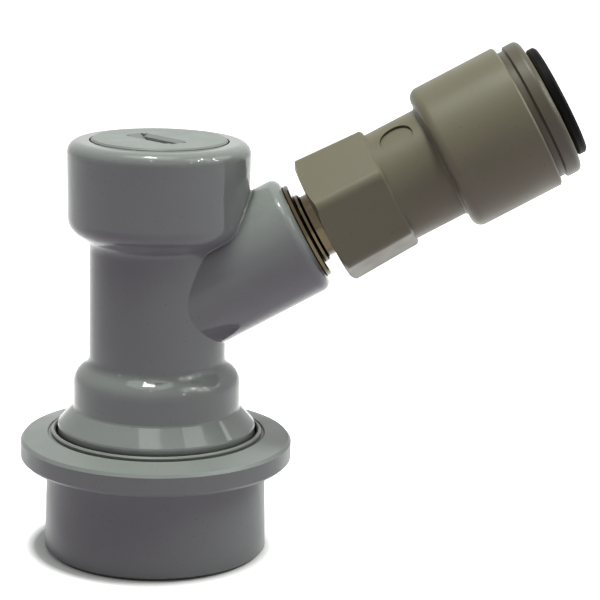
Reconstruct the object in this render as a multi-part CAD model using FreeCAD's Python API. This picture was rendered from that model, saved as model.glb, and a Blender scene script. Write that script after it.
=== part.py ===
import FreeCAD, Part
import math
import os

# Ball lock disconnect with an angled outlet arm, a flare stud and a push-fit tube adapter.
# Millimetres. +Z is the socket axis, the origin is the centre of the collar's bottom edge.
# The outlet arm leans up from the +Z axis towards +X. Arm pieces are drawn upright, with their
# own axis as Z and their distance from the socket axis as height, and are then leaned over.

V = FreeCAD.Vector
UP = V(0, 0, 1)
CENTRE = V(0, 0, 0)

# Fits and gaps
SEAT_GAP = 0.02            # between faces that bear on each other
THREAD_CLEARANCE = 0.05    # screwed pieces, shown as plain cylinders
BALL_CLEARANCE = 0.05      # ball in its pocket
GUIDE_CLEARANCE = 0.2      # plastic sliding on plastic
OPEN_GAP = 0.3             # pieces that pass without touching
STOP_GAP = 0.05            # left at the end of a travel

# Light meshes
SMALL_EDGE = 0.6           # edge breaks smaller than this are straight, larger ones are arcs
WIRE_SIDES = 6             # sides of a spring wire's section
SEAL_SIDES = 8             # sides of a seal's section

# Socket that takes the post
SOCKET_RADIUS = 8.5        # guide bore, where the balls are
SEAL_BORE_RADIUS = 8.0     # polished bore, where the post's own ring seals
SEAL_BORE_SET = 1.8        # from the balls to where it starts
SEAL_BORE_LENGTH = 6.3
UNDERCUT_RADIUS = 8.4
UNDERCUT_HEIGHT = 2.2
SOCKET_CHAMFER = 0.6
TUBE_RADIUS = 11.6         # outside of the socket tube, inside the collar
TUBE_BASE = 0.9            # the tube ends this far above the collar's bottom edge

# Locking balls
BALL_COUNT = 3
BALL_PROUD = 0.75          # how far a locked ball stands into the socket
BALL_LAND_GAP = 0.05       # between a locked ball and the collar's land
BALL_SHELF = 0.6           # from the retaining ring up to the balls
BALL_RELEASE = 0.1         # how far behind the socket wall a released ball lies

# Lock collar
COLLAR_TRAVEL = 3.6
CAM_ANGLE = 30.0           # of the cam cone that drives the balls, from the axis
CAM_GAP = 0.075
LAND_HEIGHT = 2.5
RELIEF_GAP = 0.15          # round a released ball
SKIRT_WALL = 2.05          # outside the counterbore that clears the retaining ring
SKIRT_DRAFT = 0.3
SKIRT_EDGE = 0.5
FLANGE_WIDTH = 3.35        # beyond the skirt
FLANGE_THICKNESS = 3.1
FLANGE_EDGE = 0.45
CROWN_RISE = 0.8           # the flange's top slopes up by this towards the lip
LIP_WIDTH = 0.6
LIP_HEIGHT = 0.4
LIP_GROOVE_WIDTH = 0.45
LIP_GROOVE_DEPTH = 0.25
LIP_ABOVE_FLARE = 1.4      # top of the lip above the underside of the body's flare

# Retaining ring, which keeps the collar on
RING_SHELF = 0.9           # tube left under the ring's groove
RING_THICKNESS = 0.8
RING_WIDTH = 2.4
RING_DEPTH = 0.7           # how deep it sits in the tube
RING_SPLIT = 22.0          # angle of its gap, degrees

# Lock spring
LOCK_WIRE = 0.8
LOCK_TURNS = 4
LOCK_SPRING_SPARE = 0.1    # length left when the collar is lifted all the way

# Body above the socket
FLARE_OVERHANG = 2.25      # beyond the socket tube, which makes room for the lock spring
FLARE_RIM = 2.2
FLARE_CONE = 2.5
FLARE_STEP = 2.2           # from the flare in to the bell
BELL_HEIGHT = 4.65
SHOULDER_HEIGHT = 1.8
SHOULDER_ROUND = 2.6
NECK_STEP = 2.14           # from the bell in to the neck
NECK_HEIGHT = 16.85
NECK_FILLET = 1.7
HEAD_RADIUS = 12.5
HEAD_DRAFT = 0.15
HEAD_UNDERCUT = 2.25       # height of the slope from the neck to the head
HEAD_FILLET = 1.8
HEAD_ROUND = 2.6
HEAD_HEIGHT = 11.95
HEAD_TOP_ROUND = 1.7

# Valve seat and chamber
WELL_RADIUS = 6.0
WELL_HEIGHT = 4.0
PORT_RADIUS = 3.6
PORT_LENGTH = 2.0
CHAMBER_RADIUS = 6.6
CHAMBER_HEIGHT = 17.5

# Screwed top cap
CAP_RADIUS = 9.4
CAP_SEAM = 0.22            # gap round the cap's disc
CAP_PROUD = 0.3
CAP_DISC = 3.8
CAP_THREAD_RADIUS = 8.45
CAP_PLUG = 9.7             # length of the threaded plug under the disc
CAP_POCKET_RADIUS = 4.9
CAP_POCKET_DEPTH = 4.0
CAP_GROOVE = 0.45          # how deep the seal's groove is cut into the plug
CAP_EDGE = 0.25
SLOT_WIDTH = 2.6
SLOT_DEPTH = 1.7
SLOT_LENGTH = 10.1
SLOT_ANGLE = -50.0
SLOT_OFFSET = -0.6         # sideways from the cap's centre
SLOT_MOUTH = 3.8           # width where its bevelled edges meet the cap's top
SLOT_MOUTH_LENGTH = 8.6
SLOT_BEVEL = 0.4           # depth of the bevels
CAP_SEAL_WIRE = 0.64       # radius of the seal's section

# Plunger
STEM_RADIUS = 2.4
STEM_TIP_GAP = 0.2         # between the stem's tip and the end of the seal bore
STEM_TIP_ROUND = 0.6
VALVE_SEAL_RADIUS = 3.9    # radius of the seal's centre line
VALVE_SEAL_WIRE = 0.9
SEAL_LIP = 0.5             # how far the lip under the seal overlaps it
SEAL_LIP_THICKNESS = 0.45
VALVE_FLANGE_RADIUS = 5.2
VALVE_FLANGE_THICKNESS = 1.2
WING_COUNT = 4
WING_THICKNESS = 1.2
WING_DEPTH = 2.0
WING_HEIGHT = 3.4
GUIDE_STEM_RADIUS = 2.2
PLUNGER_TRAVEL = 3.0
PLUNGER_WIRE = 0.7
PLUNGER_SPRING_RADIUS = 3.6
PLUNGER_TURNS = 8

# Outlet arm
ARM_ANGLE = 29.0           # above the horizontal
ARM_HEIGHT = 34.6          # where its axis crosses the socket axis
ARM_RADIUS = 8.5
ARM_LENGTH = 23.1
ARM_ROUND = 1.4
ARM_FILLET = 0.2           # at the joint with the neck, the head and the bell
GAS_BORE_RADIUS = 2.5
STUD_SOCKET_DEPTH = 9.1

# Flare stud, stainless steel
SHANK_RADIUS = 5.85
STUD_DISC_RADIUS = 6.92
STUD_DISC_THICKNESS = 0.75
HUB_RADIUS = 5.1
HUB_LENGTH = 0.7
STUD_RELIEF_RADIUS = 4.6
STUD_RELIEF_LENGTH = 2.4
FLARE_THREAD_RADIUS = 5.55
FLARE_THREAD_LENGTH = 6.5
FLARE_NOSE_LENGTH = 2.6    # 45 degree nose
STUD_BORE_RADIUS = 2.4
STUD_SEAL_WIRE = 0.87
STUD_SEAL_SETBACK = 3.2    # from the arm's end face to the seal's near side
STUD_GROOVE_DEPTH = 1.75

# Flare washer
WASHER_THICKNESS = 0.45

# Push-fit adapter: a hexagon, a neck and a tube socket in one moulding
HEX_MOUTH_GAP = 1.05       # the hexagon starts this far before the stud's thread does
HEX_MOUTH_FLATS = 17.0     # across flats at the mouth
HEX_MOUTH_LAND = 0.1       # the mouth's round end face ends this far inside the flats
HEX_MOUTH_CONE = 26.0      # degrees from that face to the cone that cuts the corners back
HEX_NECK_FLATS = 16.1      # across flats at the neck
HEX_CORNER = 1.6
HEX_EDGE = 0.35            # at the neck
HEX_FACE_ANGLE = 54.7      # where one face points, round from the side that faces -Y upwards
HEX_LENGTH = 10.55
ADAPTER_NECK_RADIUS = 8.0
ADAPTER_NECK_LENGTH = 7.8
PASSAGE_RADIUS = 3.0
BARREL_RADIUS = 10.53
BARREL_LENGTH = 13.3
BARREL_ROUND = 1.5
BARREL_EDGE = 0.25
BADGE_RADIUS = 2.4         # bare round recess on the neck, in line with that face
BADGE_DEPTH = 0.35
BADGE_SET = 3.75           # its centre from the hexagon's end

# Tube socket: 9.525 mm tube
BORE_RADIUS = 4.85         # collet bore and tube pocket
POCKET_LENGTH = 4.5
POCKET_OFFSET = 0.2
GLAND_RADIUS = 7.2
GLAND_LENGTH = 2.65
TUBE_SEAL_WIRE = 1.25
CAP_SPIGOT_RADIUS = 8.6
SPACER_THICKNESS = 1.2
SPACER_BORE = 5.0

# Adapter end cap
END_GROOVE_RADIUS = 9.5
END_GROOVE_WIDTH = 1.1
END_RING_RADIUS = 9.95
END_RING_LENGTH = 2.3
END_RING_ROUND = 0.9
CAM_MOUTH_RADIUS = 7.4     # wide end of the taper that closes the collet
CAM_TAPER_LENGTH = 4.0

# Collet
COLLET_WALL = 1.0
COLLET_FLANGE_RADIUS = 8.0
COLLET_FLANGE = 1.4
COLLET_FLANGE_EDGE = 0.3
COLLET_REST_GAP = 0.3      # flange above the end cap's face, the release travel
COLLET_HEAD_RADIUS = 6.6
COLLET_HEAD_LENGTH = 1.2
FINGER_COUNT = 6
FINGER_SLIT = 0.8
FINGER_LENGTH = 4.0
FINGER_RELIEF = 0.25       # how much wider the bore is between the fingers
TIP_GAP = 0.5              # from the spacer washer to the finger tips
LAND_SETBACK = 0.2         # the full bore starts this far beyond the adapter's barrel

# Grip teeth
TOOTH_PROUD = 0.2          # into the bore
TOOTH_ROOT = 1.2           # into the finger
TOOTH_WIDTH = 1.8
TOOTH_THICKNESS = 0.25
TOOTH_SET = 0.5            # from the finger tip

# Heights of the socket and collar
ring_bottom = TUBE_BASE + RING_SHELF
ring_top = ring_bottom + RING_THICKNESS
ledge_height = ring_top + STOP_GAP
land_radius = TUBE_RADIUS + GUIDE_CLEARANCE
ball_radius = (land_radius - BALL_LAND_GAP - SOCKET_RADIUS + BALL_PROUD) / 2
ball_height = ring_top + BALL_SHELF + ball_radius
ball_rest_radius = SOCKET_RADIUS + ball_radius - BALL_PROUD
ball_travel = BALL_PROUD + BALL_RELEASE
relief_radius = ball_rest_radius + ball_travel + ball_radius + RELIEF_GAP
cam_lean = math.radians(CAM_ANGLE)
cam_reach = ball_radius + CAM_GAP - (land_radius - ball_rest_radius) * math.cos(cam_lean)
cam_top = ball_height + cam_reach / math.sin(cam_lean)
cam_bottom = cam_top - (relief_radius - land_radius) / math.tan(cam_lean)
spring_seat = cam_top + LAND_HEIGHT
ring_outer_radius = TUBE_RADIUS - RING_DEPTH + RING_WIDTH
counterbore_radius = ring_outer_radius + OPEN_GAP
skirt_radius = counterbore_radius + SKIRT_WALL
flange_radius = skirt_radius + FLANGE_WIDTH

# Radii and heights of the body
flare_radius = TUBE_RADIUS + FLARE_OVERHANG
bell_radius = flare_radius - FLARE_STEP
neck_radius = bell_radius - NECK_STEP
chamber_radius = flare_radius + OPEN_GAP   # inside of the collar, over the lock spring
seal_bore_start = ball_height + ball_radius + SEAL_BORE_SET
seal_bore_top = seal_bore_start + SEAL_BORE_LENGTH
flare_base = spring_seat + COLLAR_TRAVEL + (LOCK_TURNS + 1) * LOCK_WIRE + LOCK_SPRING_SPARE
flare_top = flare_base + FLARE_RIM
bell_base = flare_top + FLARE_CONE
bell_top = bell_base + BELL_HEIGHT
neck_base = bell_top + SHOULDER_HEIGHT
neck_top = neck_base + NECK_HEIGHT
head_base = neck_top + HEAD_UNDERCUT
head_top = head_base + HEAD_HEIGHT
well_base = seal_bore_top + UNDERCUT_HEIGHT
port_base = well_base + WELL_HEIGHT
seat_base = port_base + PORT_LENGTH
chamber_base = seat_base + CHAMBER_RADIUS - PORT_RADIUS
chamber_top = chamber_base + CHAMBER_HEIGHT

# Heights of the cap
cap_top = head_top + CAP_PROUD
disc_base = cap_top - CAP_DISC
recess_floor = disc_base - 2 * (CAP_SEAL_WIRE + SEAT_GAP / 2)
plug_base = disc_base - CAP_PLUG
pocket_floor = plug_base + CAP_POCKET_DEPTH

# Heights of the plunger
cone_offset = (VALVE_SEAL_WIRE + SEAT_GAP / 2) * math.sqrt(2)
valve_seal_height = seat_base + VALVE_SEAL_RADIUS - PORT_RADIUS + cone_offset
valve_flange_base = valve_seal_height + VALVE_SEAL_WIRE + SEAT_GAP
valve_flange_top = valve_flange_base + VALVE_FLANGE_THICKNESS
guide_stem_top = pocket_floor - PLUNGER_TRAVEL - STOP_GAP

# Distances along the arm
stud_face = ARM_LENGTH + STOP_GAP
hub_start = stud_face + STUD_DISC_THICKNESS
relief_start = hub_start + HUB_LENGTH
thread_start = relief_start + STUD_RELIEF_LENGTH
nose_start = thread_start + FLARE_THREAD_LENGTH
nose_end = nose_start + FLARE_NOSE_LENGTH
stud_socket_floor = ARM_LENGTH - STUD_SOCKET_DEPTH
hex_start = thread_start - HEX_MOUTH_GAP
hex_end = hex_start + HEX_LENGTH
barrel_start = hex_end + ADAPTER_NECK_LENGTH
barrel_end = barrel_start + BARREL_LENGTH
pocket_start = barrel_start + POCKET_OFFSET
gland_start = pocket_start + POCKET_LENGTH
gland_end = gland_start + GLAND_LENGTH
spacer_end = gland_end + SEAT_GAP + SPACER_THICKNESS
spigot_start = spacer_end + SEAT_GAP
end_ring_start = barrel_end + END_GROOVE_WIDTH
cap_face = end_ring_start + END_RING_LENGTH
finger_tip = spacer_end + TIP_GAP
collet_flange_start = cap_face + COLLET_REST_GAP
collet_end = collet_flange_start + COLLET_FLANGE


def outline(corners):
    """Closed wire through (radius, height, edge break) corners; a corner without one is sharp."""
    points = [V(corner[0], 0, corner[1]) for corner in corners]
    spans = []
    for i, corner in enumerate(corners):
        here, before, after = points[i], points[i - 1], points[(i + 1) % len(points)]
        size = corner[2] if len(corner) > 2 else 0
        if not size:
            spans.append((here, None, here))
            continue
        back = (before - here).normalize()
        ahead = (after - here).normalize()
        half = back.getAngle(ahead) / 2
        reach = size / math.tan(half)
        middle = here + (back + ahead).normalize() * (size / math.sin(half) - size)
        spans.append((here + back * reach, middle, here + ahead * reach))
    edges = []
    for i, (start, middle, end) in enumerate(spans):
        if middle and corners[i][2] < SMALL_EDGE:
            edges.append(Part.makeLine(start, end))
        elif middle:
            edges.append(Part.Arc(start, middle, end).toShape())
        following = spans[(i + 1) % len(spans)][0]
        if end.distanceToPoint(following) > 1e-6:
            edges.append(Part.makeLine(end, following))
    return Part.Wire(edges)


def turned(corners):
    """Solid of revolution about Z."""
    return Part.Face(outline(corners)).revolve(CENTRE, UP, 360)


def cylinder(radius, start, end):
    return Part.makeCylinder(radius, end - start, V(0, 0, start))


def seal(ring_radius, wire_radius, height):
    """Ring with a section whose flats lie where a round one touches its groove and its seat."""
    half_side = math.pi / SEAL_SIDES
    reach = wire_radius / math.cos(half_side)
    corners = []
    for i in range(SEAL_SIDES):
        angle = half_side * (2 * i + 1)
        corners.append((ring_radius + reach * math.cos(angle), height + reach * math.sin(angle)))
    return turned(corners)


def coil(ring_radius, wire, bottom, top, turns):
    """Wire wound between two seats, its section a polygon with one corner up and one down."""
    start = bottom + wire / 2 + SEAT_GAP
    rise = top - wire / 2 - SEAT_GAP - start
    path = Part.Wire(Part.makeHelix(rise / turns, rise, ring_radius))
    corners = []
    for i in range(WIRE_SIDES):
        angle = math.pi / 2 + i * 2 * math.pi / WIRE_SIDES
        corners.append(V(ring_radius + wire / 2 * math.cos(angle), 0, wire / 2 * math.sin(angle)))
    section = Part.makePolygon(corners + corners[:1])
    spring = path.makePipeShell([section], True, True)
    spring.translate(V(0, 0, start))
    return spring


def around(shape, count, first=0.0):
    """Copies of a shape, evenly turned about Z."""
    copies = []
    for i in range(count):
        copy = shape.copy()
        copy.rotate(CENTRE, UP, first + i * 360.0 / count)
        copies.append(copy)
    return copies


def lean(shape):
    """Put a shape that was drawn upright onto the arm's axis."""
    tilt = FreeCAD.Rotation(V(0, 1, 0), 90 - ARM_ANGLE)
    shape.Placement = FreeCAD.Placement(V(0, 0, ARM_HEIGHT), tilt).multiply(shape.Placement)
    return shape


def outside_of_body():
    """The moulded body without its arm and its bores."""
    return turned([
        (0, TUBE_BASE),
        (TUBE_RADIUS, TUBE_BASE, 0.3),
        (TUBE_RADIUS, flare_base),
        (flare_radius, flare_base, 0.25),
        (flare_radius, flare_top, 0.35),
        (bell_radius, bell_base, 0.4),
        (bell_radius, bell_top, SHOULDER_ROUND),
        (neck_radius, neck_base, NECK_FILLET),
        (neck_radius, neck_top, HEAD_FILLET),
        (HEAD_RADIUS, head_base, HEAD_ROUND),
        (HEAD_RADIUS + HEAD_DRAFT, head_top, HEAD_TOP_ROUND),
        (0, head_top),
    ])


def bores_of_body():
    """Everything that is hollow about the socket axis, from the socket up to the cap's recess."""
    bore_step = SOCKET_RADIUS - SEAL_BORE_RADIUS
    return turned([
        (0, TUBE_BASE - 1),
        (SOCKET_RADIUS + SOCKET_CHAMFER, TUBE_BASE - 1),
        (SOCKET_RADIUS + SOCKET_CHAMFER, TUBE_BASE),
        (SOCKET_RADIUS, TUBE_BASE + SOCKET_CHAMFER),
        (SOCKET_RADIUS, seal_bore_start - bore_step),
        (SEAL_BORE_RADIUS, seal_bore_start),
        (SEAL_BORE_RADIUS, seal_bore_top),
        (UNDERCUT_RADIUS, seal_bore_top),
        (UNDERCUT_RADIUS, well_base, 0.4),
        (WELL_RADIUS, well_base, 0.4),
        (WELL_RADIUS, port_base, 0.5),
        (PORT_RADIUS, port_base),
        (PORT_RADIUS, seat_base),
        (CHAMBER_RADIUS, chamber_base),
        (CHAMBER_RADIUS, chamber_top),
        (CAP_THREAD_RADIUS + THREAD_CLEARANCE, chamber_top),
        (CAP_THREAD_RADIUS + THREAD_CLEARANCE, recess_floor),
        (CAP_RADIUS + CAP_SEAM, recess_floor),
        (CAP_RADIUS + CAP_SEAM, head_top + 1),
        (0, head_top + 1),
    ])


def ball_pocket():
    """Radial hole that lets a ball out into the collar but not through into the socket."""
    radius = ball_radius + BALL_CLEARANCE
    seat = Part.makeSphere(radius, V(ball_rest_radius, 0, ball_height))
    way_out = Part.makeCylinder(radius, TUBE_RADIUS, V(ball_rest_radius, 0, ball_height), V(1, 0, 0))
    return seat.fuse(way_out)


def ring_groove():
    groove = cylinder(TUBE_RADIUS + 1, ring_bottom - STOP_GAP, ring_top + STOP_GAP)
    return groove.cut(cylinder(TUBE_RADIUS - RING_DEPTH - STOP_GAP, ring_bottom - 1, ring_top + 1))


def arm_joint(moulding):
    """Edges where the arm's side runs into the rest of the body."""
    axis = V(math.cos(math.radians(ARM_ANGLE)), 0, math.sin(math.radians(ARM_ANGLE)))
    joint = []
    for edge in moulding.Edges:
        if isinstance(edge.Curve, (Part.Line, Part.LineSegment, Part.Circle)):
            continue
        low, high = edge.ParameterRange
        point = edge.valueAt((low + high) / 2) - V(0, 0, ARM_HEIGHT)
        along = point.dot(axis)
        off_axis = (point - axis * along).Length
        if abs(off_axis - ARM_RADIUS) < 1e-3 and 0 < along < ARM_LENGTH - ARM_ROUND - 1e-3:
            joint.append(edge)
    return joint


def body():
    arm = lean(turned([
        (0, 0),
        (ARM_RADIUS, 0),
        (ARM_RADIUS, ARM_LENGTH, ARM_ROUND),
        (0, ARM_LENGTH),
    ]))
    moulding = outside_of_body().fuse(arm)
    moulding = moulding.makeFillet(ARM_FILLET, arm_joint(moulding))
    cuts = around(ball_pocket(), BALL_COUNT, 90)
    cuts.append(bores_of_body())
    cuts.append(ring_groove())
    cuts.append(lean(cylinder(GAS_BORE_RADIUS, 0, ARM_LENGTH)))
    cuts.append(lean(cylinder(SHANK_RADIUS + THREAD_CLEARANCE, stud_socket_floor, ARM_LENGTH + 1)))
    for cut in cuts:
        moulding = moulding.cut(cut)
    return moulding


def top_cap():
    cap = turned([
        (0, pocket_floor),
        (CAP_POCKET_RADIUS, pocket_floor),
        (CAP_POCKET_RADIUS, plug_base, 0.3),
        (CAP_THREAD_RADIUS, plug_base, 0.5),
        (CAP_THREAD_RADIUS, recess_floor - SEAT_GAP),
        (CAP_THREAD_RADIUS - CAP_GROOVE, recess_floor - SEAT_GAP),
        (CAP_THREAD_RADIUS - CAP_GROOVE, disc_base),
        (CAP_RADIUS, disc_base),
        (CAP_RADIUS, cap_top, CAP_EDGE),
        (0, cap_top),
    ])
    wheel_radius = (SLOT_LENGTH ** 2 / 4 + SLOT_DEPTH ** 2) / (2 * SLOT_DEPTH)
    wheel_centre = V(0, SLOT_OFFSET - SLOT_WIDTH / 2, cap_top - SLOT_DEPTH + wheel_radius)
    slot = Part.makeCylinder(wheel_radius, SLOT_WIDTH, wheel_centre, V(0, 1, 0))
    bevel_width = (SLOT_MOUTH - SLOT_WIDTH) / 2
    corners = [V(-SLOT_MOUTH_LENGTH / 2, SLOT_OFFSET + side * (SLOT_WIDTH / 2 + bevel_width * rise),
                 cap_top + SLOT_BEVEL * (rise - 1))
               for side, rise in ((-1, 0), (1, 0), (1, 2), (-1, 2))]
    mouth = Part.Face(Part.makePolygon(corners + corners[:1])).extrude(V(SLOT_MOUTH_LENGTH, 0, 0))
    for cut in (slot, mouth):
        cut.rotate(CENTRE, UP, SLOT_ANGLE)
        cap = cap.cut(cut)
    return cap


def cap_seal():
    ring_radius = CAP_RADIUS + CAP_SEAM - CAP_SEAL_WIRE - STOP_GAP
    return seal(ring_radius, CAP_SEAL_WIRE, (recess_floor + disc_base) / 2)


def plunger():
    lip_radius = VALVE_SEAL_RADIUS - VALVE_SEAL_WIRE + SEAL_LIP
    drop = VALVE_SEAL_WIRE * math.sqrt(2) - (VALVE_SEAL_RADIUS - lip_radius)
    lip_top = valve_seal_height - drop - SEAT_GAP
    groove_radius = VALVE_SEAL_RADIUS - VALVE_SEAL_WIRE - SEAT_GAP
    tip = seal_bore_top + STEM_TIP_GAP
    stem = turned([
        (0, tip),
        (STEM_RADIUS, tip, STEM_TIP_ROUND),
        (STEM_RADIUS, lip_top - SEAL_LIP_THICKNESS),
        (lip_radius, lip_top - SEAL_LIP_THICKNESS),
        (lip_radius, lip_top),
        (groove_radius, lip_top),
        (groove_radius, valve_flange_base),
        (VALVE_FLANGE_RADIUS, valve_flange_base),
        (VALVE_FLANGE_RADIUS, valve_flange_top),
        (GUIDE_STEM_RADIUS, valve_flange_top),
        (GUIDE_STEM_RADIUS, guide_stem_top, 0.4),
        (0, guide_stem_top),
    ])
    wing_reach = CHAMBER_RADIUS - GUIDE_CLEARANCE
    wing_base = chamber_base + STOP_GAP
    wing = Part.makeBox(WING_DEPTH, WING_THICKNESS, WING_HEIGHT,
                        V(wing_reach - WING_DEPTH, -WING_THICKNESS / 2, wing_base))
    wing = wing.common(cylinder(wing_reach, wing_base, wing_base + WING_HEIGHT))
    return stem.multiFuse(around(wing, WING_COUNT, 45)).removeSplitter()


def plunger_seal():
    return seal(VALVE_SEAL_RADIUS, VALVE_SEAL_WIRE, valve_seal_height)


def plunger_spring():
    return coil(PLUNGER_SPRING_RADIUS, PLUNGER_WIRE, valve_flange_top, pocket_floor, PLUNGER_TURNS)


def lock_collar():
    lip_top = flare_base + LIP_ABOVE_FLARE
    crown = lip_top - LIP_HEIGHT
    rim_top = crown - CROWN_RISE
    flange_base = rim_top - FLANGE_THICKNESS
    lip_radius = chamber_radius + LIP_WIDTH
    return turned([
        (counterbore_radius, 0, SKIRT_EDGE),
        (skirt_radius, 0, SKIRT_EDGE),
        (skirt_radius - SKIRT_DRAFT, flange_base, SKIRT_EDGE),
        (flange_radius, flange_base, FLANGE_EDGE),
        (flange_radius, rim_top, FLANGE_EDGE),
        (lip_radius + LIP_GROOVE_WIDTH, crown, 0.1),
        (lip_radius + LIP_GROOVE_WIDTH, crown - LIP_GROOVE_DEPTH),
        (lip_radius, crown - LIP_GROOVE_DEPTH),
        (lip_radius, lip_top, 0.2),
        (chamber_radius, lip_top, 0.2),
        (chamber_radius, spring_seat, 0.4),
        (land_radius, spring_seat),
        (land_radius, cam_top),
        (relief_radius, cam_bottom),
        (relief_radius, ledge_height),
        (counterbore_radius, ledge_height),
    ])


def lock_spring():
    ring_radius = (TUBE_RADIUS + chamber_radius) / 2
    return coil(ring_radius, LOCK_WIRE, spring_seat, flare_base, LOCK_TURNS)


def ball(index):
    angle = math.radians(90 + index * 360.0 / BALL_COUNT)
    centre = V(ball_rest_radius * math.cos(angle), ball_rest_radius * math.sin(angle), ball_height)
    return Part.makeSphere(ball_radius, centre)


def retaining_ring():
    ring = cylinder(ring_outer_radius, ring_bottom, ring_top)
    ring = ring.cut(cylinder(ring_outer_radius - RING_WIDTH, ring_bottom, ring_top))
    gap = Part.makeCylinder(flange_radius, RING_THICKNESS, V(0, 0, ring_bottom), UP, RING_SPLIT)
    gap.rotate(CENTRE, UP, -90 - RING_SPLIT / 2)
    return ring.cut(gap)


def stud_groove():
    """Start and end of the seal's groove in the stud's shank."""
    end = ARM_LENGTH - STUD_SEAL_SETBACK
    return end - 2 * (STUD_SEAL_WIRE + SEAT_GAP), end


def outlet_stud():
    groove_start, groove_end = stud_groove()
    groove_radius = SHANK_RADIUS - STUD_GROOVE_DEPTH
    return lean(turned([
        (STUD_BORE_RADIUS, stud_socket_floor + SEAT_GAP),
        (SHANK_RADIUS, stud_socket_floor + SEAT_GAP, 0.5),
        (SHANK_RADIUS, groove_start),
        (groove_radius, groove_start),
        (groove_radius, groove_end),
        (SHANK_RADIUS, groove_end),
        (SHANK_RADIUS, stud_face),
        (STUD_DISC_RADIUS, stud_face, 0.12),
        (STUD_DISC_RADIUS, hub_start, 0.2),
        (HUB_RADIUS, hub_start, 0.15),
        (HUB_RADIUS, relief_start, 0.2),
        (STUD_RELIEF_RADIUS, relief_start, 0.15),
        (STUD_RELIEF_RADIUS, thread_start),
        (FLARE_THREAD_RADIUS, thread_start, 0.3),
        (FLARE_THREAD_RADIUS, nose_start),
        (FLARE_THREAD_RADIUS - FLARE_NOSE_LENGTH, nose_end),
        (STUD_BORE_RADIUS, nose_end),
    ]))


def stud_seal():
    start, end = stud_groove()
    ring_radius = SHANK_RADIUS - STUD_SEAL_WIRE
    return lean(seal(ring_radius, STUD_SEAL_WIRE, (start + end) / 2))


def flare_washer():
    """Cone-shaped washer between the stud's nose and the adapter's seat."""
    gap = SEAT_GAP * math.sqrt(2)
    thick = WASHER_THICKNESS * math.sqrt(2)
    inner = STUD_BORE_RADIUS + OPEN_GAP
    rise = FLARE_THREAD_RADIUS - inner
    return lean(turned([
        (FLARE_THREAD_RADIUS, nose_start + gap),
        (FLARE_THREAD_RADIUS, nose_start + gap + thick),
        (inner + thick, nose_start + gap + rise),
        (inner + thick, nose_start + gap + rise - thick),
    ]))


def hexagon(across_flats, height):
    """Hexagon wire with rounded corners."""
    corner_distance = across_flats / 2 / math.cos(math.radians(30)) - HEX_CORNER / math.cos(math.radians(30))
    centres = []
    for i in range(6):
        angle = math.radians(-60 - HEX_FACE_ANGLE + 60 * i)
        centres.append((angle, V(corner_distance * math.cos(angle), corner_distance * math.sin(angle), height)))
    edges = []
    arcs = []
    for angle, centre in centres:
        ends = [centre + V(math.cos(angle + turn), math.sin(angle + turn), 0) * HEX_CORNER
                for turn in (-math.pi / 6, 0, math.pi / 6)]
        arcs.append(ends)
    for i, (start, middle, end) in enumerate(arcs):
        edges.append(Part.Arc(start, middle, end).toShape())
        edges.append(Part.makeLine(end, arcs[(i + 1) % 6][0]))
    return Part.Wire(edges)


def adapter_body():
    hexagon_block = Part.makeLoft([hexagon(HEX_MOUTH_FLATS, hex_start), hexagon(HEX_NECK_FLATS, hex_end)],
                                  True, True)
    neck_end = [edge for edge in hexagon_block.Edges
                if min(edge.BoundBox.ZMin, edge.BoundBox.ZMax) > hex_end - HEX_EDGE]
    hexagon_block = hexagon_block.makeChamfer(HEX_EDGE, neck_end)
    mouth_radius = HEX_MOUTH_FLATS / 2 - HEX_MOUTH_LAND
    corner_radius = HEX_MOUTH_FLATS / 2 / math.cos(math.radians(30))
    cone_length = (corner_radius - mouth_radius) * math.tan(math.radians(HEX_MOUTH_CONE))
    hexagon_block = hexagon_block.common(turned([
        (0, hex_start),
        (mouth_radius, hex_start),
        (corner_radius, hex_start + cone_length),
        (corner_radius, hex_end),
        (0, hex_end),
    ]))
    barrel = turned([
        (0, hex_start + HEX_LENGTH / 2),
        (ADAPTER_NECK_RADIUS, hex_start + HEX_LENGTH / 2),
        (ADAPTER_NECK_RADIUS, barrel_start, 0.3),
        (BARREL_RADIUS, barrel_start, BARREL_ROUND),
        (BARREL_RADIUS, barrel_end, BARREL_EDGE),
        (0, barrel_end),
    ])
    thread_radius = FLARE_THREAD_RADIUS + THREAD_CLEARANCE
    seat_start = nose_start + (WASHER_THICKNESS + 2 * SEAT_GAP) * math.sqrt(2)
    bores = turned([
        (0, hex_start - 1),
        (thread_radius + 0.5, hex_start - 1),
        (thread_radius + 0.5, hex_start),
        (thread_radius, hex_start + 0.5),
        (thread_radius, seat_start - THREAD_CLEARANCE),
        (PASSAGE_RADIUS, seat_start - THREAD_CLEARANCE + thread_radius - PASSAGE_RADIUS),
        (PASSAGE_RADIUS, pocket_start),
        (BORE_RADIUS, pocket_start),
        (BORE_RADIUS, gland_start, 0.2),
        (GLAND_RADIUS, gland_start),
        (GLAND_RADIUS, gland_end),
        (CAP_SPIGOT_RADIUS + THREAD_CLEARANCE, gland_end),
        (CAP_SPIGOT_RADIUS + THREAD_CLEARANCE, barrel_end + 1),
        (0, barrel_end + 1),
    ])
    moulding = hexagon_block.fuse(barrel).removeSplitter().cut(bores)
    return lean(moulding.cut(badge_recess()))


def badge_recess():
    """Shallow round recess that follows the neck's surface."""
    side = math.radians(HEX_FACE_ANGLE)
    direction = V(-math.sin(side), -math.cos(side), 0)
    plug = Part.makeCylinder(BADGE_RADIUS, ADAPTER_NECK_RADIUS + 1, V(0, 0, hex_end + BADGE_SET), direction)
    floor = cylinder(ADAPTER_NECK_RADIUS - BADGE_DEPTH, hex_start, barrel_end)
    return plug.cut(floor)


def adapter_o_ring():
    ring_radius = GLAND_RADIUS - SEAT_GAP - TUBE_SEAL_WIRE
    return lean(seal(ring_radius, TUBE_SEAL_WIRE, gland_start + GLAND_LENGTH / 2))


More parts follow.
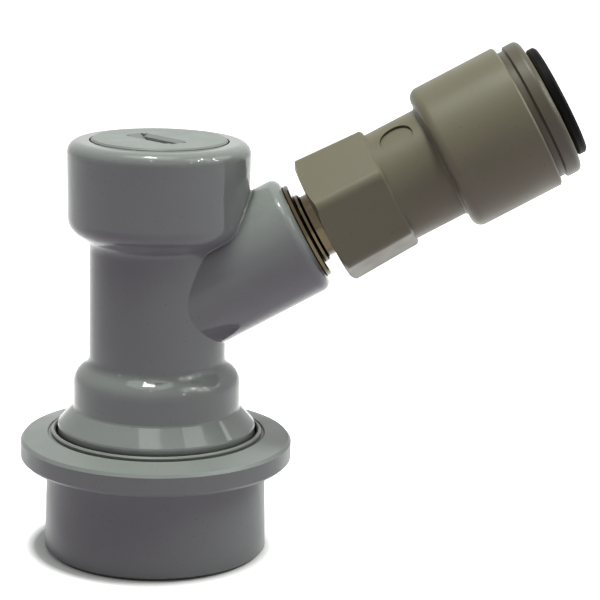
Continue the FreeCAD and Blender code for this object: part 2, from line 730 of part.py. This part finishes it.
def spacer_washer():
    return lean(turned([
        (SPACER_BORE, gland_end + SEAT_GAP, 0.2),
        (CAP_SPIGOT_RADIUS, gland_end + SEAT_GAP, 0.2),
        (CAP_SPIGOT_RADIUS, spacer_end, 0.2),
        (SPACER_BORE, spacer_end, 0.2),
    ]))


def adapter_end_cap():
    sleeve = BORE_RADIUS + COLLET_WALL + GUIDE_CLEARANCE
    taper_end = spigot_start + TIP_GAP + CAM_TAPER_LENGTH
    return lean(turned([
        (CAM_MOUTH_RADIUS, spigot_start),
        (CAP_SPIGOT_RADIUS, spigot_start, 0.2),
        (CAP_SPIGOT_RADIUS, barrel_end + SEAT_GAP),
        (END_GROOVE_RADIUS, barrel_end + SEAT_GAP),
        (END_GROOVE_RADIUS, end_ring_start, 0.15),
        (END_RING_RADIUS, end_ring_start, 0.15),
        (END_RING_RADIUS, cap_face, END_RING_ROUND),
        (sleeve, cap_face, 0.3),
        (sleeve, taper_end),
        (CAM_MOUTH_RADIUS, spigot_start + TIP_GAP),
    ]))


def tooth(extra=0.0):
    """One grip tooth, or with extra the slot that holds it."""
    reach = TOOTH_PROUD + TOOTH_ROOT + extra
    return Part.makeBox(reach, TOOTH_WIDTH + 2 * extra, TOOTH_THICKNESS + 2 * extra,
                        V(BORE_RADIUS - TOOTH_PROUD, -TOOTH_WIDTH / 2 - extra,
                          finger_tip + TOOTH_SET - extra))


def collet():
    sleeve_radius = BORE_RADIUS + COLLET_WALL
    land_start = barrel_end + LAND_SETBACK
    sleeve = turned([
        (BORE_RADIUS + FINGER_RELIEF, finger_tip),
        (COLLET_HEAD_RADIUS, finger_tip, 0.3),
        (COLLET_HEAD_RADIUS, finger_tip + COLLET_HEAD_LENGTH),
        (sleeve_radius, finger_tip + COLLET_HEAD_LENGTH + 0.75),
        (sleeve_radius, collet_flange_start),
        (COLLET_FLANGE_RADIUS, collet_flange_start, COLLET_FLANGE_EDGE),
        (COLLET_FLANGE_RADIUS, collet_end, COLLET_FLANGE_EDGE),
        (BORE_RADIUS + 0.4, collet_end),
        (BORE_RADIUS, collet_end - 0.4),
        (BORE_RADIUS, land_start),
        (BORE_RADIUS + FINGER_RELIEF, land_start - FINGER_RELIEF),
    ])
    slit = Part.makeBox(COLLET_HEAD_RADIUS + 1, FINGER_SLIT, FINGER_LENGTH + 1,
                        V(0, -FINGER_SLIT / 2, finger_tip - 1))
    for cut in around(slit, FINGER_COUNT, 180.0 / FINGER_COUNT):
        sleeve = sleeve.cut(cut)
    for cut in around(tooth(SEAT_GAP), FINGER_COUNT):
        sleeve = sleeve.cut(cut)
    return lean(sleeve)


def grip_teeth():
    return lean(Part.makeCompound(around(tooth(), FINGER_COUNT)))


PARTS = {
    "body": body,
    "top_cap": top_cap,
    "cap_seal": cap_seal,
    "plunger": plunger,
    "plunger_seal": plunger_seal,
    "plunger_spring": plunger_spring,
    "lock_collar": lock_collar,
    "lock_spring": lock_spring,
    "retaining_ring": retaining_ring,
    "outlet_stud": outlet_stud,
    "stud_seal": stud_seal,
    "flare_washer": flare_washer,
    "adapter_body": adapter_body,
    "adapter_o_ring": adapter_o_ring,
    "spacer_washer": spacer_washer,
    "adapter_end_cap": adapter_end_cap,
    "collet": collet,
    "grip_teeth": grip_teeth,
}

os.makedirs("parts", exist_ok=True)
for name, make in PARTS.items():
    make().exportStep("parts/" + name + ".step")
for index in range(BALL_COUNT):
    ball(index).exportStep("parts/ball_" + str(index + 1) + ".step")
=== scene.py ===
import math

import bpy
from mathutils import Matrix, Vector


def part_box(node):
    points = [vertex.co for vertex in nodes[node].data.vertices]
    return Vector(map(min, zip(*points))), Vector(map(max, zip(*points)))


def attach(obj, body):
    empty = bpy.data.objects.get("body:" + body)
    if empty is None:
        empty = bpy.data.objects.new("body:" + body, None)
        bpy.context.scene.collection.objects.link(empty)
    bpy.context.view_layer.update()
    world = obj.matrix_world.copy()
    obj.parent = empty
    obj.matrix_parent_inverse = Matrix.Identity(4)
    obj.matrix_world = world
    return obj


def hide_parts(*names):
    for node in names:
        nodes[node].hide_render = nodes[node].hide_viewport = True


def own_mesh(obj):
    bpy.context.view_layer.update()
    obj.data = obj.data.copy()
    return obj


# Ball lock disconnect with its flare stud and push-fit tube adapter. Metres, in the CAD frame:
# +Z is the socket axis, the outlet arm leans up from it towards +X.

MM = 0.001
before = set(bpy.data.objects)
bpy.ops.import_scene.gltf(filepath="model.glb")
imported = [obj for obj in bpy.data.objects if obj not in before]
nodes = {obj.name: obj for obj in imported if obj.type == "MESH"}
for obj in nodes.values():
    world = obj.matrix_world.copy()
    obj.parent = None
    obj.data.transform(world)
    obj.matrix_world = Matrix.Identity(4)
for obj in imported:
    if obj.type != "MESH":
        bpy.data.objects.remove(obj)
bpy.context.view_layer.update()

# Arm, as the mounts and joints of the record give it
ARM_ANGLE = math.radians(29.0)
ARM_HEIGHT = 34.6 * MM
ARM_AXIS = Vector((math.cos(ARM_ANGLE), 0, math.sin(ARM_ANGLE)))

# Springs, which stand in for plainer CAD nodes
LOCK_WIRE = 0.8 * MM
LOCK_TURNS = 4
PLUNGER_WIRE = 0.7 * MM
PLUNGER_TURNS = 8
CLOSED_TURNS = 0.5          # turns at each end that lie on the seat
EVEN_RISE = 0.1             # share of the height that the wire climbs evenly, closed turns included
TURN_POINTS = 24            # sections in each turn of a coil
WIRE_SIDES = 12

# Seals, which stand in for plainer CAD nodes too: radius of each round section
CAP_SEAL_SECTION = 0.64 * MM
PLUNGER_SEAL_SECTION = 0.9 * MM
STUD_SEAL_SECTION = 0.87 * MM
ADAPTER_SEAL_SECTION = 1.25 * MM
SEAL_SECTIONS = 64
SEAL_SIDES = 16

# Colours, written for a plain level of light
GREY = (0.282, 0.3, 0.288)
BEIGE = (0.188, 0.17, 0.112)
# The adapter's acetal drawn darker for its end cap: painted shade
SHADED_BEIGE = (0.11, 0.093, 0.065)
BLACK = (0.004, 0.003, 0.004)
SOFT_BLACK = (0.015, 0.015, 0.016)
NATURAL = (0.62, 0.6, 0.52)
# Stud steel drawn dark and gold-tinted: a painted reflection of a dark, golden room
STUD_STEEL_PAINTED_REFLECTION = (0.1, 0.08, 0.05)
BALL_STEEL = (0.7, 0.7, 0.7)
SPRING_STEEL = (0.55, 0.55, 0.54)
RUBBER = (0.02, 0.02, 0.021)
# Painted shade that darkens crevices, seams and slots
CREVICE_SHADE = (0.05, 0.047, 0.03)
WHITE = (1, 1, 1, 1)

# Noise textures: scale and detail, and the values between which a range runs from its start to its end
TONE_DRIFT = (90, 4, 0.3, 0.7)
SPECKS = (2600, 1, 0.68, 0.76)
GLOSS_DRIFT = (240, 5, 0.35, 0.7)
ORANGE_PEEL = (330, 2)
MOULD_GRAIN = (3800, 2)
STEEL_CLOUD = (300, 4, 0.3, 0.7)
STEEL_SMEAR = (900, 3, 0.3, 0.7)
WIRE_TONE = (1500, 3)
WIRE_SMEAR = (2500, 2, 0.3, 0.7)
WIRE_GRAIN = (5000, 2)
RUBBER_TONE = (800, 4)
RUBBER_SMEAR = (1300, 3, 0.3, 0.7)
RUBBER_GRAIN = (4500, 3)
TURNING_LINES = (14000, 2)

# What the textures do: factors on the colour, and ranges of roughness
MOULDED_TINTS = (0.96, 1.03)
SPECK_TINT = 0.85
GLOSS_SPREAD = 1.35                 # roughest places, as a factor on the roughness
STEEL_TINTS = (0.92, 1.04)
STEEL_SPREAD = 0.1                  # added to the roughness in the smears
WIRE_TINTS = (0.8, 1.1)
WIRE_ROUGHNESS = (0.22, 0.4)
RUBBER_TINTS = (0.8, 1.3)
RUBBER_ROUGHNESS = (0.4, 0.62)
SMALL_GRAIN = 0.01 * MM             # height of the grain on wire and rubber

# Wear on edges, and painted shade in crevices, which are also made rougher as by dust
EDGE_RADIUS = 0.25 * MM
EDGE_SAMPLES = 4
EDGE_TURN = (0.99, 0.8)             # cosine of the turn at which wear starts and is full
CREVICE_REACH = 1.2 * MM
CREVICE_SAMPLES = 6
CREVICE_OPENING = (0.7, 0.25)       # open share of the surroundings at which the painted shade starts and is full
CREVICE_ROUGHNESS = 0.7

# Floor, which glows white away from the part and keeps the part's shadow; near the part its glow is dimmed,
# which paints a shadow ring round it
FLOOR_SIZE = 3.0
# The floor's centre is moved left, so that the painted shadow ring reaches further out on the part's left
FLOOR_PLACE = (-1.2 * MM, 0, -0.05 * MM)
FLOOR_SEEN = (0.8, 0.8, 0.8, 1)
FLOOR_BOUNCE = (0.4, 0.31, 0.43, 1)     # what the part gets back, with the purple cast of its shadows
FLOOR_ROUGHNESS = 0.7
FLOOR_SPECULAR = 0.2
GLOW_EDGE = (15.8 * MM, 18.2 * MM)      # distance from the floor's centre at which the glow grows; the dimmer glow inside is a painted shadow
GLOW_STRENGTH = (0.1, 0.95)

# Room round the part, from below to above
ROOM_HEIGHT = (-0.1, 0.9)               # how far up a ray points where the first and the last colour lie
ROOM_COLOURS = ((0.015, 0.012, 0.018, 1), (0.05, 0.05, 0.05, 1))

# Camera, placed where the photograph was taken, its place turned about the socket's axis
CAMERA_PLACE = Vector((19.78, -291.96, 103.84)) * MM
CAMERA_TURN = math.radians(-2.5)
CAMERA_PITCH = math.radians(76.97)
CAMERA_ROLL = math.radians(1.48)
CAMERA_LENS = 129.25        # millimetres, as the sensor's width
CAMERA_SENSOR = 36
CAMERA_CLIP = (0.01, 10)

# Lamps: azimuth from the front and elevation in degrees, width and height in metres, watts
LAMP_AIM = Vector((0.01, 0, 0.035))
LAMP_DISTANCE = 0.6
LAMP_COLOUR = (0.95, 1.0, 0.94)
LAMPS = {
    "overhead": (-56, 81, 0.1, 0.1, 1.5),
    "overhead_soft": (-40, 80, 0.45, 0.4, 1.8),
    "right_high": (64, 50, 0.25, 0.25, 0.5),
    "right_side": (100, 35, 0.25, 0.25, 0.5),
    "right_fill": (75, 18, 0.3, 0.3, 0.2),
}

# Small spots that only glossy faces mirror, as dots
SPOTS = {
    "spot_front": (-12, 52, 0.02, 0.03, 0.15),
    "spot_left": (-72, 37, 0.03, 0.03, 0.1),
    "spot_1": (40, 26, 0.02, 0.03, 0.15),
    "spot_2": (47, 44, 0.02, 0.03, 0.4),
    "spot_3": (58, 39, 0.02, 0.03, 0.4),
    "spot_4": (70, 32, 0.02, 0.03, 0.3),
    "spot_5": (81, 26, 0.02, 0.03, 0.3),
    "spot_6": (72, 50, 0.02, 0.03, 0.4),
    "spot_7": (85, 40, 0.02, 0.03, 0.3),
}


class Nodes:
    """Short way to build a node tree: add a node, set its inputs by name and link what is a socket."""

    def __init__(self, tree):
        self.tree = tree

    def add(self, kind, settings=None, **inputs):
        node = self.tree.nodes.new("ShaderNode" + kind)
        for key, value in (settings or {}).items():
            setattr(node, key, value)
        self.put(node, **inputs)
        return node

    def put(self, node, **inputs):
        """Set or link inputs by name, with _ for a space, or by number, as i0."""
        for key, value in inputs.items():
            numbered = key[0] == "i" and key[1:].isdigit()
            socket = node.inputs[int(key[1:]) if numbered else key.replace("_", " ")]
            if isinstance(value, bpy.types.NodeSocket):
                self.tree.links.new(value, socket)
            else:
                socket.default_value = value

    def place(self):
        return self.add("TexCoord").outputs["Object"]

    def noise(self, scale, detail):
        return self.add("TexNoise", Vector=self.place(), Scale=scale, Detail=detail).outputs["Fac"]

    def between(self, value, low, high, start=0.0, end=1.0):
        """Value from low to high taken to a range from start to end."""
        node = self.add("MapRange", Value=value, From_Min=low, From_Max=high, To_Min=start, To_Max=end)
        return node.outputs["Result"]

    def cloud(self, texture, start=0.0, end=1.0):
        """One of the noise textures, taken to a range from start to end."""
        scale, detail, low, high = texture
        return self.between(self.noise(scale, detail), low, high, start, end)

    def mix(self, amount, first, second):
        return self.add("Mix", {"data_type": "RGBA"}, i0=amount, i6=first, i7=second).outputs[2]

    def dot(self, first, second):
        return self.add("VectorMath", {"operation": "DOT_PRODUCT"}, i0=first, i1=second).outputs["Value"]

    def bump(self, height, distance, **inputs):
        return self.add("Bump", Height=height, Distance=distance, **inputs).outputs["Normal"]

    def edges(self):
        """0 on open faces, up to 1 where a face turns."""
        bevel = self.add("Bevel", {"samples": EDGE_SAMPLES}, Radius=EDGE_RADIUS).outputs["Normal"]
        normal = self.add("NewGeometry").outputs["Normal"]
        return self.between(self.dot(bevel, normal), *EDGE_TURN)

    def crevices(self):
        """0 on open faces, up to 1 in seams, slots and inside corners, where shade is painted."""
        node = self.add("AmbientOcclusion", {"samples": CREVICE_SAMPLES}, Distance=CREVICE_REACH)
        return self.between(node.outputs["AO"], *CREVICE_OPENING)

    def seen(self):
        """1 for camera, glossy and transmission rays, which all see the background white."""
        rays = self.add("LightPath").outputs
        total = rays["Is Camera Ray"]
        for kind in ("Is Glossy Ray", "Is Transmission Ray"):
            total = self.add("Math", {"operation": "MAXIMUM"}, i0=total, i1=rays[kind]).outputs[0]
        return total


class Surface(Nodes):
    """Node tree of a new material with one Principled shader."""

    def __init__(self, name, **inputs):
        self.material = bpy.data.materials.new(name)
        self.material.use_nodes = True
        super().__init__(self.material.node_tree)
        self.shader = self.tree.nodes["Principled BSDF"]
        self.shade(**inputs)

    def shade(self, **inputs):
        self.put(self.shader, **inputs)


def tint(colour, factor=1.0):
    """Colour made lighter or darker, with alpha."""
    return (colour[0] * factor, colour[1] * factor, colour[2] * factor, 1.0)


def tints(colour, factors):
    return [tint(colour, factor) for factor in factors]


def moulded(name, colour, roughness, orange_peel, grain, edge_light=1.25, specular=0.5):
    """Moulded plastic: drifting tone, rubbed lighter edges, painted shade and dusty roughness in crevices,
    slight orange peel and fine grain.
    """
    m = Surface(name, Specular_IOR_Level=specular)
    base = m.mix(m.cloud(TONE_DRIFT), *tints(colour, MOULDED_TINTS))
    base = m.mix(m.cloud(SPECKS), base, tint(colour, SPECK_TINT))
    base = m.mix(m.edges(), base, tint(colour, edge_light))
    # Crevices, seams and slots get painted shade in their colour, and are made rougher as by dust
    shade_and_dust = m.crevices()
    m.shade(Base_Color=m.mix(shade_and_dust, base, tint(CREVICE_SHADE)))
    gloss = m.cloud(GLOSS_DRIFT, roughness, GLOSS_SPREAD * roughness)
    m.shade(Roughness=m.between(shade_and_dust, 0, 1, gloss, CREVICE_ROUGHNESS))
    waves = m.bump(m.noise(*ORANGE_PEEL), orange_peel)
    m.shade(Normal=m.bump(m.noise(*MOULD_GRAIN), grain, Normal=waves))
    return m.material


def polished_steel(name, colour, roughness, lines=0.0):
    """Steel, with fine lines left by turning round the arm's axis where these have a height."""
    m = Surface(name, Metallic=1.0)
    m.shade(Base_Color=m.mix(m.cloud(STEEL_CLOUD), *tints(colour, STEEL_TINTS)))
    m.shade(Roughness=m.cloud(STEEL_SMEAR, roughness, roughness + STEEL_SPREAD))
    if lines:
        scale, detail = TURNING_LINES
        along = m.dot(m.place(), tuple(ARM_AXIS))
        turning = m.add("TexNoise", {"noise_dimensions": "1D"}, W=along, Scale=scale, Detail=detail)
        m.shade(Normal=m.bump(turning.outputs["Fac"], lines))
    return m.material


def drawn_wire(name, colour):
    m = Surface(name, Metallic=1.0)
    m.shade(Base_Color=m.mix(m.noise(*WIRE_TONE), *tints(colour, WIRE_TINTS)))
    m.shade(Roughness=m.cloud(WIRE_SMEAR, *WIRE_ROUGHNESS))
    m.shade(Normal=m.bump(m.noise(*WIRE_GRAIN), SMALL_GRAIN))
    return m.material


def soft_rubber(name, colour):
    m = Surface(name)
    m.shade(Base_Color=m.mix(m.noise(*RUBBER_TONE), *tints(colour, RUBBER_TINTS)))
    m.shade(Roughness=m.cloud(RUBBER_SMEAR, *RUBBER_ROUGHNESS))
    m.shade(Normal=m.bump(m.noise(*RUBBER_GRAIN), SMALL_GRAIN))
    return m.material


finishes = {
    "body_plastic": moulded("grey_body_plastic", GREY, roughness=0.045, orange_peel=0.015 * MM,
                            grain=0.0006 * MM, specular=0.26),
    "cap_plastic": moulded("dull_grey_cap_plastic", GREY, roughness=0.38, orange_peel=0.01 * MM,
                           grain=0.002 * MM, edge_light=1.1, specular=0.2),
    "collar_plastic": moulded("grey_collar_plastic", GREY, roughness=0.28, orange_peel=0.015 * MM,
                              grain=0.003 * MM, specular=0.2),
    "adapter_acetal": moulded("beige_acetal", BEIGE, roughness=0.34, orange_peel=0.015 * MM,
                              grain=0.006 * MM, edge_light=1.15, specular=0.3),
    # Same acetal as the adapter's body, darker: painted shade
    "end_acetal": moulded("shaded_beige_acetal", SHADED_BEIGE, roughness=0.3, orange_peel=0.015 * MM,
                          grain=0.004 * MM, edge_light=1.15, specular=0.3),
    "collet_acetal": moulded("black_acetal", BLACK, roughness=0.4, orange_peel=0.01 * MM,
                             grain=0.003 * MM, edge_light=2.5, specular=0.06),
    "plunger_acetal": moulded("black_plunger_acetal", SOFT_BLACK, roughness=0.35, orange_peel=0.01 * MM,
                              grain=0.003 * MM, edge_light=2.0),
    "washer_nylon": moulded("natural_nylon", NATURAL, roughness=0.4, orange_peel=0.01 * MM,
                            grain=0.004 * MM, edge_light=1.1),
    # The stud's dark, gold-tinted colour is a painted reflection
    "stud_steel": polished_steel("turned_steel_painted_dark_reflection", STUD_STEEL_PAINTED_REFLECTION, roughness=0.05, lines=0.004 * MM),
    "ball_steel": polished_steel("polished_ball_steel", BALL_STEEL, roughness=0.08),
    "spring_steel": drawn_wire("drawn_spring_steel", SPRING_STEEL),
    "seal_rubber": soft_rubber("black_seal_rubber", RUBBER),
}

FINISH_OF = {
    "body": "body_plastic",
    "top_cap": "cap_plastic",
    "lock_collar": "collar_plastic",
    "retaining_ring": "plunger_acetal",
    "plunger": "plunger_acetal",
    "outlet_stud": "stud_steel",
    "flare_washer": "washer_nylon",
    "spacer_washer": "washer_nylon",
    "adapter_body": "adapter_acetal",
    "adapter_end_cap": "end_acetal",
    "collet": "collet_acetal",
    "grip_teeth": "stud_steel",
    "ball_1": "ball_steel",
    "ball_2": "ball_steel",
    "ball_3": "ball_steel",
}


def dress(piece, finish):
    """Give a piece one of the finishes, in place of what it has."""
    piece.data.materials.clear()
    piece.data.materials.append(finishes[finish])


def mesh_piece(name, points, faces):
    mesh = bpy.data.meshes.new(name)
    mesh.from_pydata(points, [], faces)
    mesh.shade_smooth()
    piece = bpy.data.objects.new(name, mesh)
    bpy.context.scene.collection.objects.link(piece)
    return piece


def tube(rings, closed=False):
    """Points and faces of a tube through rings of points that all have the same number."""
    count, sides = len(rings), len(rings[0])
    points = [point for ring in rings for point in ring]
    faces = []
    for i in range(count if closed else count - 1):
        for j in range(sides):
            after, beside = (i + 1) % count, (j + 1) % sides
            faces.append((i * sides + j, after * sides + j, after * sides + beside, i * sides + beside))
    if not closed:
        faces.append(tuple(range(sides)))
        faces.append(tuple(range((count - 1) * sides, count * sides))[::-1])
    return points, faces


def section(ring_radius, wire_radius, angle, height, sides):
    """Round section of a wire at this angle round the Z axis."""
    ring = []
    for j in range(sides):
        turn = 2 * math.pi * j / sides
        reach = ring_radius + wire_radius * math.cos(turn)
        ring.append((reach * math.cos(angle), reach * math.sin(angle), height + wire_radius * math.sin(turn)))
    return ring


def spring(name, node, wire, turns):
    """Round wire wound in the room of its CAD node, with its last half turns closed on the seats."""
    low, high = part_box(node)
    ring_radius = (high.x - low.x) / 2 - wire / 2
    start, end = low.z + wire / 2, high.z - wire / 2
    closed = CLOSED_TURNS / turns
    steps = turns * TURN_POINTS
    rings = []
    for i in range(steps + 1):
        part = i / steps
        rise = min(max((part - closed) / (1 - 2 * closed), 0), 1)
        rise = EVEN_RISE * part + (1 - EVEN_RISE) * rise
        height = start + (end - start) * rise
        rings.append(section(ring_radius, wire / 2, 2 * math.pi * turns * part, height, WIRE_SIDES))
    piece = mesh_piece(name, *tube(rings))
    dress(piece, "spring_steel")
    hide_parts(node)
    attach(piece, "housing")
    return piece


def seal(name, node, wire_radius, body, on_arm=False):
    """Round seal ring in the room of its CAD node, round the socket's axis or the arm's."""
    axis = Matrix.Identity(4)
    if on_arm:
        axis = Matrix.Translation((0, 0, ARM_HEIGHT)) @ Matrix.Rotation(math.pi / 2 - ARM_ANGLE, 4, "Y")
    corners = [nodes[node].matrix_world @ vertex.co for vertex in nodes[node].data.vertices]
    local = [axis.inverted() @ corner for corner in corners]
    height = (min(p.z for p in local) + max(p.z for p in local)) / 2
    ring_radius = max(math.hypot(p.x, p.y) for p in local) - wire_radius
    rings = []
    for i in range(SEAL_SECTIONS):
        ring = section(ring_radius, wire_radius, 2 * math.pi * i / SEAL_SECTIONS, height, SEAL_SIDES)
        rings.append([axis @ Vector(point) for point in ring])
    piece = mesh_piece(name, *tube(rings, closed=True))
    dress(piece, "seal_rubber")
    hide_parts(node)
    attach(piece, body)


def floor():
    bpy.ops.mesh.primitive_plane_add(size=FLOOR_SIZE, location=FLOOR_PLACE)
    plane = bpy.context.object
    plane.name = "studio_floor"
    m = Surface("studio_floor", Roughness=FLOOR_ROUGHNESS, Specular_IOR_Level=FLOOR_SPECULAR,
                Emission_Color=WHITE)
    seen = m.seen()
    m.shade(Base_Color=m.mix(seen, FLOOR_BOUNCE, FLOOR_SEEN))
    # Glow that is dim near the part: a painted shadow ring round it
    away = m.add("VectorMath", {"operation": "LENGTH"}, i0=m.place()).outputs["Value"]
    glow = m.between(away, *GLOW_EDGE, *GLOW_STRENGTH)
    m.shade(Emission_Strength=m.between(seen, 0, 1, 0.0, glow))
    plane.data.materials.append(m.material)


def room():
    """White where a ray sees past the part, and a dim room, lighter above, for all other light."""
    world = bpy.data.worlds.new("studio")
    bpy.context.scene.world = world
    world.use_nodes = True
    world.node_tree.nodes.clear()
    w = Nodes(world.node_tree)
    white = w.add("Background", Color=WHITE)
    upwards = w.add("SeparateXYZ", i0=w.add("TexCoord").outputs["Generated"]).outputs["Z"]
    ramp = w.add("ValToRGB", Fac=w.between(upwards, *ROOM_HEIGHT))
    for element, colour in zip(ramp.color_ramp.elements, ROOM_COLOURS):
        element.color = colour
    around = w.add("Background", Color=ramp.outputs["Color"])
    mix = w.add("MixShader", i0=w.seen(), i1=around.outputs["Background"], i2=white.outputs["Background"])
    w.add("OutputWorld", Surface=mix.outputs["Shader"])


def area_light(name, azimuth, elevation, width, height, watts):
    """Lamp that looks at the part from this azimuth, 0 at the front and positive to the right."""
    azimuth, elevation = math.radians(azimuth), math.radians(elevation)
    away = Vector((math.sin(azimuth) * math.cos(elevation), -math.cos(azimuth) * math.cos(elevation),
                   math.sin(elevation)))
    lamp = bpy.data.lights.new(name, "AREA")
    lamp.shape = "ELLIPSE"
    lamp.size, lamp.size_y = width, height
    lamp.energy = watts
    lamp.color = LAMP_COLOUR
    holder = bpy.data.objects.new(name, lamp)
    holder.location = LAMP_AIM + away * LAMP_DISTANCE
    holder.rotation_euler = (-away).to_track_quat("-Z", "Y").to_euler()
    bpy.context.scene.collection.objects.link(holder)
    return holder


def camera():
    data = bpy.data.cameras.new("photo_view")
    data.lens = CAMERA_LENS
    data.sensor_width = CAMERA_SENSOR
    data.clip_start, data.clip_end = CAMERA_CLIP
    holder = bpy.data.objects.new("photo_view", data)
    turn = Matrix.Rotation(CAMERA_TURN, 4, "Z")
    aim = Matrix.Rotation(CAMERA_PITCH, 4, "X") @ Matrix.Rotation(CAMERA_ROLL, 4, "Z")
    holder.matrix_world = turn @ Matrix.Translation(CAMERA_PLACE) @ aim
    bpy.context.scene.collection.objects.link(holder)
    bpy.context.scene.camera = holder


for name, finish in FINISH_OF.items():
    dress(nodes[name], finish)

lock_spring = spring("lock_spring_wire", "lock_spring", LOCK_WIRE, LOCK_TURNS)
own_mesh(lock_spring)
plunger_spring = spring("plunger_spring_wire", "plunger_spring", PLUNGER_WIRE, PLUNGER_TURNS)
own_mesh(plunger_spring)

seal("cap_seal_ring", "cap_seal", CAP_SEAL_SECTION, "housing")
seal("plunger_seal_ring", "plunger_seal", PLUNGER_SEAL_SECTION, "plunger")
seal("stud_seal_ring", "stud_seal", STUD_SEAL_SECTION, "housing", on_arm=True)
seal("adapter_seal_ring", "adapter_o_ring", ADAPTER_SEAL_SECTION, "housing", on_arm=True)

floor()
room()
for name, lamp in LAMPS.items():
    area_light(name, *lamp)
for name, lamp in SPOTS.items():
    area_light(name, *lamp).visible_diffuse = False
camera()
bpy.context.scene.view_settings.view_transform = "Standard"
